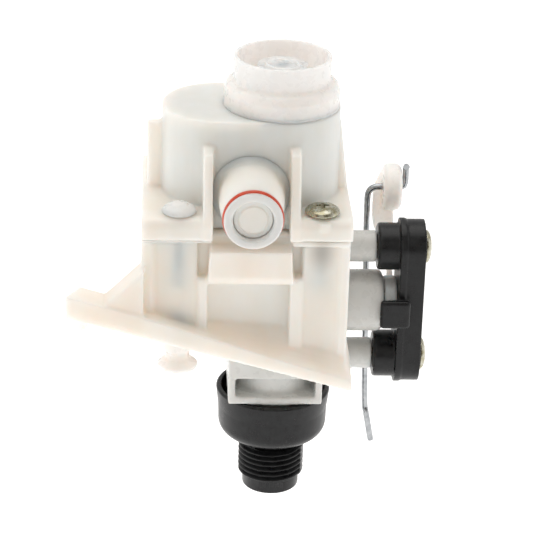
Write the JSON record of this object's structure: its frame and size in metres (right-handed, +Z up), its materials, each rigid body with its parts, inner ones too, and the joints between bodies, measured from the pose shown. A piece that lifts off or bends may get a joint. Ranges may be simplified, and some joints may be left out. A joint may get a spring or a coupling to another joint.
{
  "type": "lever water valve with vacuum breaker",
  "caption": "Lever-operated plastic water valve with a vent cup, side outlet spigot and threaded inlet.",
  "frame": {"origin": "point of the sloped base flange's underside in front of the inlet axis, where the valve rests on what carries it", "axes": "+Z up along the inlet and vent axis, -Y out of the outlet spigot, +X towards the lever and its yoke"},
  "size_m": [0.1122, 0.0733, 0.1452],
  "materials": {
    "natural_plastic": "satin, slightly translucent",
    "white_plastic": "satin",
    "black_plastic": "satin",
    "seat_plastic": "satin",
    "black_rubber": "matte",
    "red_rubber": "satin",
    "zinc_screw": "zinc plated",
    "zinc_wire": "bright zinc",
    "stainless": "polished"
  },
  "bodies": {
    "housing": {"lower_housing": "natural_plastic", "upper_housing": "natural_plastic", "vent_cup": "natural_plastic", "float_guide": "natural_plastic", "outlet_spigot": "natural_plastic", "mounting_stud": "natural_plastic", "housing_rivet_front_left": "natural_plastic", "valve_body": "white_plastic", "swivel_ring": "white_plastic", "float_cage": "white_plastic", "inlet_fitting": "black_plastic", "yoke": "black_plastic", "ball_seat_lower": "seat_plastic", "ball_seat_upper": "seat_plastic", "flow_disc": "seat_plastic", "inlet_washer": "black_rubber", "transfer_o_ring": "black_rubber", "yoke_screw_upper": "zinc_screw", "yoke_screw_lower": "zinc_screw", "housing_screw_front_right": "zinc_screw", "housing_screw_rear_right": "zinc_screw", "housing_screw_rear_left": "zinc_screw", "outlet_o_ring": "red_rubber", "inlet_screen": "stainless"},
    "lever": {"lever": "natural_plastic", "valve_stem": "seat_plastic", "valve_ball": "stainless", "stem_o_ring_inner": "black_rubber", "stem_o_ring_outer": "black_rubber"},
    "rod": {"pull_rod": "zinc_wire"},
    "float": {"vacuum_float": "seat_plastic", "float_seal": "black_rubber"}
  },
  "joints": [
    {"name": "lever_turn", "type": "hinge", "parent": "housing", "child": "lever", "pos_m": [0, 0.025, 0.01093], "axis": [1, 0, 0], "range_deg": [-60, 0]},
    {"name": "rod_swing", "type": "hinge", "parent": "lever", "child": "rod", "pos_m": [0, 0.049, 0.03943], "axis": [1, 0, 0], "range_deg": [0, 60]},
    {"name": "float_lift", "type": "slide", "parent": "housing", "child": "float", "axis": [0, 0, 1], "range_m": [0, 0.004]}
  ],
  "couplings": [
    {"joint": "rod_swing", "follows": "lever_turn", "ratio": -1}
  ]
}
